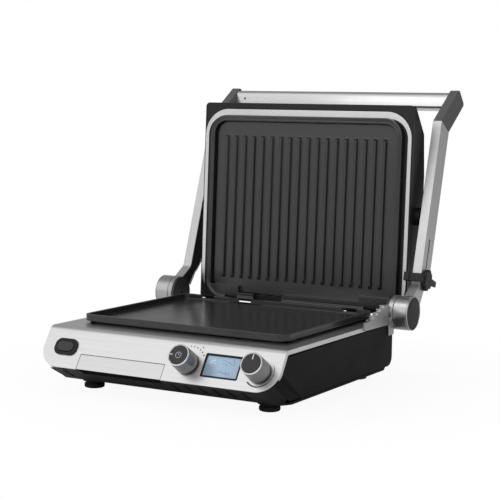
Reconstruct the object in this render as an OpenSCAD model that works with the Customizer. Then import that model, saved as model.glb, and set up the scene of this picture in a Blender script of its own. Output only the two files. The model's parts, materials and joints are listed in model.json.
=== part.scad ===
// Contact grill with a lid on two arms, shown open. Millimetres, +Z up.
// X runs to the right of someone who stands in front, Y runs to the rear.
// The origin is on the table, under the middle of the whole appliance.

/* [Base] */
// Width of the base beside the lid, each side
base_side = 4.6; // [3:0.1:12]
// Length of the deck in front of the lower plate
deck_front = 35.4; // [30:0.1:60]
// Height of the deck above the table
deck_h = 80.4; // [78:0.1:95]
// Length of the fascia down its slope
fascia_l = 54.5; // [52:0.1:60]
// Lean of the fascia from upright
fascia_tilt = 32.8; // [25:0.1:40]
// Radius of the bend between the deck and the fascia
bend_r = 9; // [5:0.5:12]
// Radius of the two lower corners of the fascia
fascia_corner_r = 28; // [10:1:32]
// Thickness of the steel deck sheet
sheet_t = 1.5; // [1:0.1:2.5]
// Width of the strip that the sheet folds down at each side
strip_h = 5.4; // [3:0.1:8]
// Height of the underside above the table
belly_h = 13; // [11:0.5:18]
// Run of the chin below the fascia, to the rear
chin_run = 41; // [25:1:55]
// Wall of the plastic housing
wall_t = 3; // [2:0.1:4]
// Thickness of the side panels
panel_t = 4; // [3:0.1:5]
// Lower edge of the side panels above the table
panel_h0 = 19; // [16:0.5:25]
// Thickness of the rear panel
rear_t = 2.5; // [2:0.1:4]
// Spacing of the vent slots in the chin
vent_pitch = 19.6; // [14:0.1:24]
// Width of a vent slot
vent_w = 4; // [2:0.1:6]

/* [Feet] */
// Diameter of the rubber foot
foot_d = 26; // [20:0.5:30]
// Diameter of the collar above the foot
foot_collar_d = 30; // [24:0.5:36]
// Distance of a foot from the side of the base
foot_in = 41; // [30:1:60]
// Distance of the front feet behind the deck's front edge
foot_front_in = 35; // [25:1:60]
// Distance of the rear feet in front of the rear
foot_rear_in = 20; // [18:1:60]

/* [Plates] */
// How much narrower the lower plate is than the upper one
plate_less_w = 5.6; // [4:0.1:20]
// How much shorter the lower plate is than the upper one
plate_less_l = 18.2; // [12:0.1:30]
// Distance of the lower plate in front of the rear of the base
plate_rear_in = 14.2; // [12:0.1:24]
// Height of the lower plate's rim
rim_h = 8.5; // [7:0.1:12]
// Gap between the deck and the rim
rim_gap = 2.9; // [2:0.1:6]
// Thickness of a plate's wall
rim_t = 4.2; // [3:0.1:6]
// Depth of the lower plate's cooking floor below the rim
floor_drop = 7; // [5:0.1:7.5]
// Corner radius of the lower plate
plate_r = 13; // [8:0.5:20]
// Width of the upper plate
upper_w = 300; // [280:0.5:304]
// Length of the upper plate
upper_l = 262; // [240:0.5:264]
// Height of the upper plate's rim above the lid's frame
upper_rim_h = 7; // [5:0.1:9]
// Corner radius of the upper plate
upper_r = 26; // [15:1:30]
// Distance of the outer ribs from the side of the upper plate
rib_side = 26.2; // [20:0.1:40]
// Number of ribs
rib_count = 18; // [12:1:18]
// Height of a rib above the floor of the upper plate
rib_h = 4.6; // [3:0.1:5]
// How much shorter the ribs are than the upper plate
rib_less = 57; // [50:1:100]

/* [Lid] */
// Margin of the lid beside the upper plate
lid_side = 13.4; // [12:0.1:20]
// Margin of the lid above the upper plate
lid_top = 17.8; // [15:0.1:30]
// Depth of the lid behind its frame
lid_t = 44; // [38:0.5:50]
// Lean of the open lid to the rear
lid_lean = 2.31; // [0:0.01:8]
// Wall of the lid's cover
lid_wall = 3; // [2:0.1:4]
// Thickness of the lid's frame
frame_t = 6; // [4:0.1:8]
// Width of the bright ring above the upper plate
ring_w = 10.5; // [6:0.1:12]
// Width of the bright ring beside the upper plate
ring_side = 5.8; // [4:0.1:10]
// Corner radius of the bright ring, outside
ring_r = 37; // [30:1:45]

/* [Arms] */
// Radius of the hub cylinders
hub_r = 22.6; // [20:0.1:26]
// Width of a hub cylinder
hub_w = 20.5; // [16:0.1:24]
// Height of the hinge above the deck
hinge_up = 8.8; // [6:0.1:14]
// Distance of the hinge behind the base
hinge_back = 4.4; // [3:0.1:8]
// Lean of the open arms to the rear
arm_lean = 17.4; // [14:0.05:19]
// Lean of the arms towards each other
arm_pinch = 0.72; // [0:0.01:1.2]
// Thickness of an arm, left to right
arm_t = 13; // [11:0.1:14]
// Width of an arm seen from the side
arm_w = 30.2; // [26:0.1:34]
// Offset of the arm's front face from the hinge
arm_off = 26.8; // [25:0.1:30]
// Distance from the hinge to the mitre of the handle end, along the arm's front face
arm_l = 271.5; // [255:0.5:280]
// Sheet thickness of the arm's channel
channel_t = 2.2; // [1.5:0.1:3]
// Length of a handle end
handle_end_l = 77; // [65:0.5:90]
// Width of a handle end seen from the side
handle_end_w = 28.4; // [24:0.1:32]
// Angle between the handle end and the arm
handle_bend = 38.6; // [30:0.1:45]
// Side of the handle bar's section
bar_a = 24; // [20:0.5:26]
// Pivot of the lid, along the arm from the hinge
pivot_along = 138.4; // [125:0.1:150]
// Pivot of the lid, across the arm from the hinge
pivot_across = 36.2; // [34:0.1:46]
// Diameter of the hinge pins
hinge_pin_d = 12; // [8:0.5:16]
// Diameter of the lid's pivot pins
pivot_pin_d = 10; // [6:0.5:12]

/* [Clip] */
// Length of the clip's slot in the right arm
slot_l = 63.4; // [60:0.1:70]
// Width of the slot
slot_w = 3.8; // [2:0.1:5]
// Where the slot starts, along the arm from the hinge
slot_start = 45; // [44:0.1:50]
// Length of the clip's block along the arm
clip_l = 29; // [24:0.5:32]
// Width of the clip's block across the arm
clip_w = 21; // [16:0.5:24]

/* [Controls] */
// Diameter of a knob at its face
knob_d = 27.5; // [22:0.1:30]
// Height of a knob above the fascia
knob_h = 25; // [18:0.1:28]
// Distance of the timer knob from the base's right side
timer_in = 124; // [118:0.5:128]
// Distance of the temperature knob from the right side
temperature_in = 26.5; // [26:0.5:32]
// Distance of the display from the right side
lcd_in = 78; // [73:0.5:83]
// Width of the display
lcd_w = 46; // [36:0.5:48]
// Height of the display
lcd_h = 26; // [20:0.5:30]
// Distance of the plate release button from the left side
button_in = 34; // [28:0.5:36]
// Width of the release button's bezel
button_w = 33; // [26:0.5:36]
// Height of the release button's bezel
button_h = 21.7; // [16:0.1:26]
// Distance of the controls' centre line below the fascia's top edge
control_d = 29.5; // [27:0.1:31]

/* [Drip tray] */
// Distance of the drip tray's front from the left side
tray_in = 59; // [56:0.1:62]
// Width of the drip tray's front
tray_w = 122.5; // [100:0.5:126]
// Height of the drip tray's front, down the slope
tray_h = 20; // [17:0.1:21]

/* [Fits] */
// Radial clearance of pins that turn
run_gap = 0.05; // [0.02:0.01:0.1]
// Clearance between pieces that move past each other
move_gap = 0.5; // [0.3:0.1:0.8]

/* [Hidden] */
$fn = 64;
eps = 0.01;

// Widths and lengths that follow the two plates.
upper_s0 = 4;
lid_w = upper_w + 2 * lid_side;
lid_l = upper_s0 + upper_l + lid_top;
base_w = lid_w + 2 * base_side;
plate_w = upper_w - plate_less_w;
plate_l = upper_l - plate_less_l;
deck_l = deck_front + plate_l + plate_rear_in;
rib_pitch = (upper_w - 2 * rib_side) / (rib_count - 1);
rib_l = upper_l - rib_less;

// Hinge axis, seen from the side; everything else hangs on it.
hinge_z = deck_h + hinge_up;
// Side view of the arm frame: u across the arm to the rear, v along it.
function arm_pt(u, v) = [hinge_y + u * cos(arm_lean) + v * sin(arm_lean),
                         hinge_z - u * sin(arm_lean) + v * cos(arm_lean)];
// The foremost point is a knob's face, the rearmost the handle end's corner.
end_dir = [sin(handle_bend), cos(handle_bend)];
end_side = handle_end_w * [cos(handle_bend), -sin(handle_bend)];
end_front = [arm_off, arm_l];
mitre = [arm_off + arm_w, arm_l + end_side[1] + (arm_w - end_side[0]) / tan(handle_bend)];
end_corner = end_front + end_side + (handle_end_l + 3.7) * end_dir;
rear_reach = end_corner[0] * cos(arm_lean) + end_corner[1] * sin(arm_lean);
front_reach = deck_l + hinge_back + control_d * sin(fascia_tilt) + knob_h * cos(fascia_tilt)
            + knob_d / 2 * sin(fascia_tilt);
hinge_y = (front_reach - rear_reach) / 2;
rear_y = hinge_y - hinge_back;
front_y = rear_y - deck_l;
half_w = base_w / 2;
foot_x = half_w - foot_in;
timer_x = half_w - timer_in;
temperature_x = half_w - temperature_in;
lcd_x = half_w - lcd_in;
button_x = button_in - half_w;
tray_x = tray_in + tray_w / 2 - half_w;

// Side view of the fascia: d down the slope, depth inwards from its surface.
function fascia_pt(d, depth = 0) = [front_y - d * sin(fascia_tilt) + depth * cos(fascia_tilt),
                                    deck_h - d * cos(fascia_tilt) - depth * sin(fascia_tilt)];
// Points of an arc about c.
function arc_pts(c, r, a0, a1, n = 8) = [for (i = [0:n]) let (a = a0 + (a1 - a0) * i / n)
                                         c + r * [cos(a), sin(a)]];
// Outline with its corners rounded, one radius for each point.
function unit(v) = v / norm(v);
function corner_arc(a, b, c, r, n = 5) = r <= 0 ? [b] :
    let (p = unit(a - b), q = unit(c - b), half = acos(p * q) / 2, m = b + unit(p + q) * r / sin(half),
         s = b + p * r / tan(half) - m, e = b + q * r / tan(half) - m,
         a0 = atan2(s[1], s[0]), turn = (atan2(e[1], e[0]) - a0 + 540) % 360 - 180)
    [for (i = [0:n]) m + r * [cos(a0 + turn * i / n), sin(a0 + turn * i / n)]];
function soften(pts, radii) = let (k = len(pts)) [for (i = [0:k - 1])
    each corner_arc(pts[(i + k - 1) % k], pts[i], pts[(i + 1) % k], radii[i])];
chin_y = fascia_pt(fascia_l)[0] + chin_run;
chin_drop = fascia_pt(fascia_l)[1] - belly_h;
panel_x = half_w - sheet_t;

// Lower plate.
rim_z0 = deck_h + rim_gap;
rim_z1 = rim_z0 + rim_h;
floor_z = rim_z1 - floor_drop;
plate_y = rear_y - plate_rear_in - plate_l / 2;
plate_under = 4.5;
plate_nest = 9;
drain_x = tray_x + 2;
drain_w = 50;
catch_x = [-0.365 * plate_w, 0.384 * plate_w];
catch_w = 16;

// Heater trays under and behind the plates.
pan_in = 7;
pan_t = 0.8;
pan_depth = 15;
element_d = 6.5;

// Lid frame: x across, s up along the lid, n out of the plate side.
pivot_s = 134.5;
pivot_n = -22;
function turn2(p, a) = [p[0] * cos(a) - p[1] * sin(a), p[0] * sin(a) + p[1] * cos(a)];
pivot_yz = arm_pt(pivot_across, pivot_along);
lid_foot = pivot_yz - [pivot_s * sin(lid_lean) - pivot_n * cos(lid_lean),
                       pivot_s * cos(lid_lean) + pivot_n * sin(lid_lean)];
ring_top_s = lid_l - 8.8;
rim_n0 = 1.5;
// The cover's back: flat between two places, then a slope and a chamfer up to the frame.
back_s = [60, lid_l - 92.8];
chamfer_s = lid_l - 37.8;
chamfer_n = 6 - lid_t;
panel_margin = 20;
lid_button_w = 31;
lid_button_h = 11;

// Arms and clip.
arm_x = half_w + 6.5;
arm_x1 = arm_x + arm_t;
disc_x = half_w + 6.5;
hub_x = disc_x + 0.4;
hub_x1 = hub_x + hub_w;
slot_u = arm_off + 14.3;
bar_t = 2;
bar_r = 5;
bar_tilt = 10;
clip_v = slot_start - 7;
tab_l = 19;
// How far the arms' lean moves them inwards at the lid's pivot.
pivot_in = pivot_along * sin(arm_pinch);

// Controls.
bezel_t = 2.2;
shaft_d = 6;
board_depth = 16;
tray_d0 = fascia_l - tray_h - 0.2;
tray_z1 = fascia_pt(tray_d0)[1] - 2;
tray_z0 = fascia_pt(fascia_l)[1] + 1.5;
shelf_t = 2;
tray_front_t = 5;
tray_y0 = fascia_pt(fascia_l)[0] + 6;
tray_l = rear_y - rear_t - wall_t - 1.5 - tray_y0;

// ---- Frames and outlines -------------------------------------------------

// Thickens a side view (first number to the rear, second up) from x0 to x1.
module side_plate(x0, x1) translate([x0, 0, 0]) rotate([90, 0, 90]) linear_extrude(x1 - x0) children();

// A side view in the arm's own frame: first number across, second along.
module arm_view() translate([hinge_y, hinge_z]) rotate(-arm_lean) children();

// Leans a right-hand piece of the arms inwards, about a line on the hinge axis.
module pinched() translate([arm_x, hinge_y, hinge_z]) rotate([-arm_lean, 0, 0])
    rotate([0, -arm_pinch, 0]) rotate([arm_lean, 0, 0]) translate([-arm_x, -hinge_y, -hinge_z]) children();

// Keeps the right-hand piece, or mirrors it to the left.
module on_side(side) mirror([side < 0 ? 1 : 0, 0, 0]) children();

// Local frame on the fascia: X to the right, Y up the slope, Z out of it.
module on_fascia(x, d)
    translate([x, fascia_pt(d)[0], fascia_pt(d)[1]]) rotate([90 - fascia_tilt, 0, 0]) children();

// Local frame of the lid: X to the right, Y up along the lid, Z out of its plate side.
module on_lid() translate([0, lid_foot[0], lid_foot[1]]) rotate([90 - lid_lean, 0, 0]) children();

// Cylinder along X from x0 to x1, seen from the side at yz.
module rod_x(yz, r, x0, x1) translate([x0, yz[0], yz[1]]) rotate([0, 90, 0]) cylinder(r = r, h = x1 - x0);

// Rectangle with round corners, centred.
module rounded(w, h, r) {
    square([w - 2 * r, h], center = true);
    square([w, h - 2 * r], center = true);
    for (x = [-1, 1], y = [-1, 1]) translate([x * (w / 2 - r), y * (h / 2 - r)]) circle(r);
}

// What lies outside the two lower corners of the fascia, moved inwards by i, as prisms.
module corner_waste(i = 0)
    for (x = [-1, 1]) on_fascia(x * (half_w - fascia_corner_r), fascia_l - fascia_corner_r)
        translate([0, 0, -60]) linear_extrude(80) difference() {
            side = fascia_corner_r + 10;
            translate([x > 0 ? 0 : -side, -side]) square(side);
            circle(fascia_corner_r - i + 0.05);
        }

// ---- Base ----------------------------------------------------------------

// Side view of the bend between deck and fascia, moved inwards by i.
function deck_bend_pts(i) =
    arc_pts([front_y + bend_r * tan((90 - fascia_tilt) / 2), deck_h - bend_r], max(bend_r - i, 0.2),
            90, 180 - fascia_tilt);
function backwards(pts) = [for (k = [len(pts) - 1:-1:0]) pts[k]];
// Side view of the chin, the belly and the low lip at the rear, moved inwards by i.
lip_h = 16;
function chin_pts(i) = [
    fascia_pt(fascia_l - i, sheet_t + i), [chin_y + i * 0.6, belly_h + i],
    [rear_y - rear_t - 10, belly_h + i], [rear_y - rear_t - i, belly_h + max(10, i)],
    [rear_y - rear_t - i, belly_h + lip_h]];
// Side view of the front wall, moved inwards by i.
function front_pts(i) = i == 0 ? deck_bend_pts(sheet_t) :
    [[deck_bend_pts(sheet_t)[0][0] + i, deck_h - sheet_t], fascia_pt(bend_r + 4, sheet_t + i)];

module chin_vents() {
    // Slots run down the chin, two at the left of the tray and six at its right.
    xs = concat([for (k = [0:1]) k * vent_pitch + 14 - half_w],
                [for (k = [0:5]) tray_x + tray_w / 2 + 8.5 + k * vent_pitch]);
    chin = [fascia_pt(fascia_l)[0], fascia_pt(fascia_l)[1]];
    for (x = xs) side_plate(x - vent_w / 2, x + vent_w / 2)
        polygon([chin + [6, -12], chin + [chin_run - 8, -40], chin + [chin_run - 8, 2], chin + [14, 2]]);
}

// Level prism of the tray's front, from y0 to y1, so that it slides out without a change of gap.
module tray_prism(gap, down, y0, y1)
    translate([tray_x - tray_w / 2 - gap, y0, fascia_pt(fascia_l)[1] + 0.2 - down])
        cube([tray_w + 2 * gap, y1 - y0, tray_h * cos(fascia_tilt) - 0.2 + gap + down]);

module tray_mouth() tray_prism(0.4, 2, fascia_pt(fascia_l)[0] - 20, fascia_pt(0)[0] + 12);

// Shell of front wall, chin and belly; the side panels and the rear panel close it.
module lower_housing() color([0.16, 0.16, 0.17]) {
    difference() {
        housing_half_w = panel_x - panel_t;
        side_plate(-housing_half_w, housing_half_w) difference() {
            polygon(concat(front_pts(0), chin_pts(0), [[front_y + 40, deck_h - sheet_t]]));
            polygon(concat(front_pts(wall_t), chin_pts(wall_t), [[rear_y, belly_h + lip_h],
                [rear_y, deck_h], [front_pts(wall_t)[0][0], deck_h]]));
        }
        corner_waste();
        tray_mouth();
        chin_vents();
        finger_recess();
        for (x = [timer_x, temperature_x]) on_fascia(x, control_d) translate([0, 0, -board_depth])
            cylinder(d = shaft_d + 4, h = board_depth + 10);
        on_fascia(lcd_x, control_d - 1) translate([0, 0, -10]) linear_extrude(20)
            rounded(lcd_w + 4, lcd_h + 4, 2);
        on_fascia(button_x, control_d - 2.5) translate([0, 0, -12]) linear_extrude(24)
            rounded(button_w - 4, button_h - 4, (button_h - 4) / 2 - eps);
    }
    corner_walls();
    recess_walls();
    for (x = [-1, 1], y = [front_y + foot_front_in, rear_y - foot_rear_in])
        translate([x * foot_x, y, belly_h - 4]) cylinder(d = foot_collar_d, h = 4 + eps);
}

// Curved walls behind the two lower corners of the fascia.
module corner_walls() {
    housing_half_w = panel_x - panel_t;
    intersection() {
        side_plate(-housing_half_w, housing_half_w)
            polygon(concat(front_pts(0), [for (k = [0:1]) chin_pts(0)[k]], [[chin_y, deck_h - 20]]));
        difference() {
            corner_waste(wall_t);
            corner_waste();
        }
    }
}

// Finger recess in the chin under the tray's front.
recess_in = 3;
recess_run = 14;
module finger_recess() {
    p = fascia_pt(fascia_l);
    side_plate(tray_x - tray_w / 2 + recess_in, tray_x + tray_w / 2 - recess_in)
        polygon([p + [-8, 0], p + [recess_run, 0], p + [recess_run, -14], p + [-8, -14]]);
}

// Walls behind the recess and at its two ends.
module recess_walls() {
    p = fascia_pt(fascia_l);
    half = tray_w / 2 - recess_in;
    slope = -chin_drop / chin_run;
    t = 2;
    side_plate(tray_x - half - t, tray_x + half + t)
        polygon([p + [recess_run, -1.2], p + [recess_run + t, -1.2],
                 p + [recess_run + t, slope * (recess_run + t) + 0.5], p + [recess_run, slope * recess_run + 0.5]]);
    for (x = [tray_x - half - t, tray_x + half]) side_plate(x, x + t)
        polygon([p + [3, -1.2], p + [recess_run + 0.5, -1.2],
                 p + [recess_run + 0.5, slope * recess_run + 0.5], p + [3, slope * 3 + 0.3]]);
}

// Two rails that stand on the belly and carry the drip tray.
module tray_runners() color([0.16, 0.16, 0.17]) {
    y0 = fascia_pt(tray_d0, tray_front_t + 3)[0];
    y1 = rear_y - rear_t - wall_t;
    w = tray_w - 6;
    z0 = tray_z0 - move_gap - shelf_t;
    for (side = [-1, 1]) translate([tray_x, 0, 0]) on_side(side) {
        side_plate(w / 2 + move_gap, w / 2 + move_gap + shelf_t) polygon([[y0, z0],
            [chin_y + 8, belly_h + wall_t], [y1 - 7, belly_h + wall_t], [y1, belly_h + 10],
            [y1, tray_z1], [y0, tray_z1]]);
        side_plate(w / 2 - 10, w / 2 + move_gap + eps)
            polygon([[y0, z0], [y1, z0], [y1, z0 + shelf_t], [y0, z0 + shelf_t]]);
    }
}

// Side panel; its inner layer stands behind the strip that the deck folds down.
module side_panel(side) color([0.11, 0.11, 0.12]) on_side(side) difference() {
    lower_edge = concat(arc_pts([chin_y + 1, panel_h0 + 12], 12, 225, 270, 4),
                        arc_pts([rear_y - 12, panel_h0 + 12], 12, 270, 360, 6));
    union() {
        side_plate(panel_x - panel_t, half_w) polygon(concat(
            [[rear_y, deck_h - strip_h - 0.3], fascia_pt(strip_h + 0.3, strip_h + 0.3)],
            [fascia_pt(fascia_l - 12, strip_h + 0.3), fascia_pt(fascia_l - 1, strip_h + 4)], lower_edge));
        side_plate(panel_x - panel_t, panel_x) polygon(concat([[rear_y, deck_h - sheet_t]],
            deck_bend_pts(sheet_t), [fascia_pt(fascia_l - 12, sheet_t), fascia_pt(fascia_l - 1, sheet_t + 2)],
            lower_edge));
    }
    corner_waste();
}

// Sheet over the deck: the L of deck and fascia, folded down at both sides.
function deck_l_pts(i, more = 0) =
    concat([[rear_y + more, deck_h - i]], deck_bend_pts(i), [fascia_pt(fascia_l + more, i)]);

module deck_cover() color([0.86, 0.87, 0.88]) difference() {
    side_plate(-half_w, half_w) polygon(concat(deck_l_pts(0), backwards(deck_l_pts(strip_h))));
    side_plate(-half_w + sheet_t, half_w - sheet_t)
        polygon(concat(deck_l_pts(sheet_t, 5), backwards(deck_l_pts(strip_h + 2, 5))));
    corner_waste();
    translate([0, plate_y, deck_h - 10]) linear_extrude(20)
        rounded(plate_w - 2 * pan_in, plate_l - 2 * pan_in, plate_r);
    // grease slot behind the plate's drain
    translate([drain_x - drain_w / 2, rear_y - plate_rear_in - pan_in - 1, deck_h - 10])
        cube([drain_w, plate_rear_in + pan_in - rear_t - wall_t, 20]);
    tray_mouth();
    for (x = [timer_x, temperature_x]) on_fascia(x, control_d) translate([0, 0, -5])
        cylinder(d = shaft_d + 4, h = 10);
    on_fascia(lcd_x, control_d - 1) translate([0, 0, -5]) linear_extrude(10)
        rounded(lcd_w + 4, lcd_h + 4, 2);
    on_fascia(button_x, control_d - 2.5) translate([0, 0, -5]) linear_extrude(10)
        rounded(button_w - 4, button_h - 4, (button_h - 4) / 2 - eps);
}

module rear_panel() color([0.12, 0.12, 0.13]) difference() {
    translate([-half_w + panel_t + sheet_t, rear_y - rear_t, belly_h + 12])
        cube([base_w - 2 * panel_t - 2 * sheet_t, rear_t, deck_h - sheet_t - belly_h - 12]);
    for (k = [-4:4]) translate([k * 12 - 70, rear_y - rear_t - 1, 38]) cube([5, rear_t + 2, 24]);
    translate([40, rear_y + 1, 40]) rotate([90, 0, 0]) cylinder(d = 15, h = rear_t + 2);
}

// Gland that the supply cable would pass through.
module cable_gland() color([0.08, 0.08, 0.08]) translate([40, rear_y, 40]) rotate([-90, 0, 0])
    difference() {
        union() {
            cylinder(d = 20, h = 3);
            translate([0, 0, -12]) cylinder(d = 15, h = 12 + eps);
            translate([0, 0, -13]) cylinder(d = 19, h = 13 - rear_t - wall_t - 0.1);
        }
        translate([0, 0, -20]) cylinder(d = 7.6, h = 40);
    }

module foot(x, y) color([0.07, 0.07, 0.07]) translate([x * foot_x, y, 0]) rotate_extrude()
    polygon([[0, 0], [foot_d / 2 - 1.5, 0], [foot_d / 2, 1.5], [foot_d / 2, belly_h - 4],
             [3, belly_h - 4], [3, 3], [0, 3]]);

// ---- Heating and electronics ---------------------------------------------

module heater_pan(w, l, r, depth) {
    difference() {
        translate([0, 0, -depth]) linear_extrude(depth) rounded(w, l, r);
        translate([0, 0, pan_t - depth]) linear_extrude(depth) rounded(w - 2 * pan_t, l - 2 * pan_t, r - pan_t);
    }
}

module lower_heater_pan() color([0.6, 0.6, 0.61]) translate([0, plate_y, deck_h - sheet_t])
    heater_pan(plate_w - 2 * pan_in + 4, plate_l - 2 * pan_in + 4, plate_r, pan_depth);

// Tubular heater: four runs along X joined by three half rings.
module element(w, l) {
    runs = 4;
    step = floor(l / (runs - 1));
    for (k = [0:runs - 1]) translate([-w / 2, (k - (runs - 1) / 2) * step, 0]) rotate([0, 90, 0])
        cylinder(d = element_d, h = w);
    for (k = [0:runs - 2]) translate([k % 2 == 0 ? w / 2 : -w / 2, (k + 1 - runs / 2) * step, 0])
        rotate([0, 0, k % 2 == 0 ? -90 : 90]) rotate_extrude(angle = 180)
            translate([step / 2, 0]) circle(d = element_d);
}

module lower_element() color([0.35, 0.33, 0.32])
    translate([0, plate_y, deck_h - sheet_t - pan_depth + pan_t + element_d / 2 + 2])
        element(0.6 * plate_w, 0.75 * plate_l);

board_t = 1.6;
power_board_size = [half_w - tray_x - tray_w / 2 - 49, 0.26 * deck_l - 6];
module power_board() color([0.1, 0.35, 0.2])
    translate([half_w - 33 - power_board_size[0], front_y + 60, belly_h + wall_t + 2]) {
        cube([power_board_size[0], power_board_size[1], board_t]);
        for (x = [0.1, 0.38, 0.68]) translate([x * power_board_size[0], 12, board_t]) cube([20, 24, 14]);
        translate([20, power_board_size[1] - 16, board_t]) cylinder(d = 12, h = 20);
    }

module control_board() color([0.1, 0.35, 0.2]) on_fascia(timer_x - 20, control_d)
    translate([0, -13, -board_depth - board_t]) difference() {
        board_w = temperature_x - timer_x + 34.5;
        board_h = lcd_h + 2;
        cube([board_w, board_h, board_t]);
        for (x = [4, board_w - 4], y = [4, board_h - 4]) translate([x, y, -1]) cylinder(d = 3.2, h = 4);
    }

module lcd_bezel() color([0.1, 0.1, 0.11]) on_fascia(lcd_x, control_d - 1) difference() {
    union() {
        translate([0, 0, -sheet_t - 4]) linear_extrude(sheet_t + 4) rounded(lcd_w + 4, lcd_h + 4, 2);
    }
    translate([0, 0, -3]) linear_extrude(10) rounded(lcd_w, lcd_h, 1.5);
    translate([0, 0, -20]) linear_extrude(30) square([lcd_w - 4, lcd_h - 4], center = true);
}

module lcd_window() color([0.62, 0.7, 0.78]) on_fascia(lcd_x, control_d - 1) translate([0, 0, -3])
    linear_extrude(1.6) rounded(lcd_w - 0.4, lcd_h - 0.4, 1.3);

module button_bezel() color([0.06, 0.06, 0.06]) on_fascia(button_x, control_d - 2.5) difference() {
    union() {
        linear_extrude(bezel_t) rounded(button_w, button_h, button_h / 2 - 2);
        translate([0, 0, -sheet_t - 3]) linear_extrude(sheet_t + 3 + eps)
            rounded(button_w - 4, button_h - 4, (button_h - 4) / 2 - eps);
    }
    translate([0, 0, -20]) linear_extrude(40) rounded(button_w - 8, button_h - 8, (button_h - 8) / 2 - eps);
}

module plate_release_button() color([0.14, 0.14, 0.15]) on_fascia(button_x, control_d - 2.5) {
    w = button_w - 8 - 2 * move_gap;
    h = button_h - 8 - 2 * move_gap;
    translate([0, 0, -6]) linear_extrude(6 + bezel_t + 1) rounded(w, h, h / 2 - eps);
    translate([0, 0, -9]) cylinder(d = 5, h = 4);
}

module knob_ring(x) color([0.05, 0.05, 0.05]) on_fascia(x, control_d) difference() {
    union() {
        cylinder(d = knob_d - 1, h = 1);
        translate([0, 0, -sheet_t - 2]) cylinder(d = shaft_d + 4, h = sheet_t + 2 + eps);
    }
    translate([0, 0, -20]) cylinder(d = shaft_d + 2 * move_gap, h = 40);
}

// Component that a knob's shaft enters, on the control board.
module shaft_part(x, round_body) color([0.3, 0.3, 0.32]) on_fascia(x, control_d)
    translate([0, 0, -board_depth]) difference() {
        if (round_body) cylinder(d = 17, h = 8);
        else translate([-7, -7, 0]) cube([14, 14, 8]);
        translate([0, 0, -eps]) cylinder(d = shaft_d + 2 * run_gap + 0.6, h = 9);
    }

module shaft(x, top) color([0.75, 0.75, 0.76]) on_fascia(x, control_d) translate([0, 0, -board_depth + 2.6])
    cylinder(d = shaft_d, h = board_depth - 2.6 + top);

// Knob: a slightly tapered cup with a raised rim round a flat face, on its own axis.
module knob_body(bore) difference() {
    rotate_extrude($fn = 96) polygon([[0, 3], [knob_d / 2 + 0.8, 3], [knob_d / 2 + 0.8, 4.5],
        [knob_d / 2, knob_h - 1], [knob_d / 2 - 0.6, knob_h], [knob_d / 2 - 1.8, knob_h],
        [knob_d / 2 - 2, knob_h - 0.7], [0, knob_h - 0.7]]);
    translate([0, 0, 2]) cylinder(d = knob_d - 5, h = 5);
    if (bore > 0) translate([0, 0, 2]) cylinder(d = bore, h = 14);
}

module timer_shaft() shaft(timer_x, 14);

module timer_knob() color([0.45, 0.45, 0.46]) on_fascia(timer_x, control_d)
    knob_body(shaft_d + 2 * run_gap);

module temperature_knob() {
    color([0.45, 0.45, 0.46]) on_fascia(temperature_x, control_d) knob_body(0);
    shaft(temperature_x, 8);
}

// ---- Drip tray -------------------------------------------------------------

module tray_pan() color([0.2, 0.2, 0.21]) {
    w = tray_w - 6;
    difference() {
        translate([tray_x - w / 2, tray_y0, tray_z0]) cube([w, tray_l, tray_z1 - tray_z0 - 2]);
        translate([tray_x - w / 2 + 2, tray_y0 + 10, tray_z0 + 2]) cube([w - 4, tray_l - 12, 40]);
        on_fascia(tray_x, tray_d0) translate([-tray_w, -60, -tray_front_t]) cube([2 * tray_w, 120, 60]);
    }
}

module tray_front() color([0.84, 0.85, 0.86]) intersection() {
    tray_prism(0, 0, front_y - 100, front_y + 50);
    on_fascia(tray_x, 0) translate([-tray_w, -2 * fascia_l, -tray_front_t])
        cube([2 * tray_w, 3 * fascia_l, tray_front_t]);
}

// ---- Hinge and arms --------------------------------------------------------

// Disc that carries the hinge pin, on a strip down the side panel.
module bracket_body() {
    rod_x([hinge_y, hinge_z], hub_r, half_w, disc_x);
    side_plate(half_w, half_w + 2.5) polygon([[rear_y - 17, hinge_z], [rear_y - 1.5, hinge_z],
        [rear_y - 1.5, deck_h - 20], [rear_y - 17, deck_h - 20]]);
}

module bracket_bore() rod_x([hinge_y, hinge_z], hinge_pin_d / 2, half_w - 10, disc_x + 10);

module left_hinge_bracket() color([0.62, 0.62, 0.63]) on_side(-1) difference() {
    bracket_body();
    bracket_bore();
}

// Steps that the clip's tongue rests on to hold the lid at a height.
step_n = 5;
step_run = 10;
step_rise = 3.5;
step_z0 = deck_h + 8.2;
step_y0 = hinge_y - 80.8;
step_x0 = lid_w / 2 + 0.9;
step_x1 = half_w + 3.6;
step_end_y = step_y0 + step_n * step_run;

module height_steps() {
    side_plate(step_x0, step_x1) polygon(concat(
        [[step_y0, deck_h], [step_y0, step_z0]],
        [for (k = [1:step_n - 1], up = [0, 1]) [step_y0 + k * step_run, step_z0 + (k - 1 + up) * step_rise]],
        arc_pts([step_end_y, step_z0 + (step_n - 1) * step_rise - 14], 14, 90, 20, 5),
        [[step_end_y + 8, step_z0 + 4], [step_end_y + 2, deck_h]]));
    side_plate(half_w, step_x1) polygon([[step_y0 - 15, deck_h - 4], [step_y0 - 15, deck_h + 6],
        [step_y0, step_z0], [rear_y - 10, deck_h + 4], [rear_y - 10, deck_h - 5]]);
}

module right_hinge_bracket() color([0.62, 0.62, 0.63]) difference() {
    union() {
        bracket_body();
        difference() {
            height_steps();
            rod_x([hinge_y, hinge_z], hub_r - 0.3, half_w - 10, half_w);
        }
    }
    bracket_bore();
}

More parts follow.
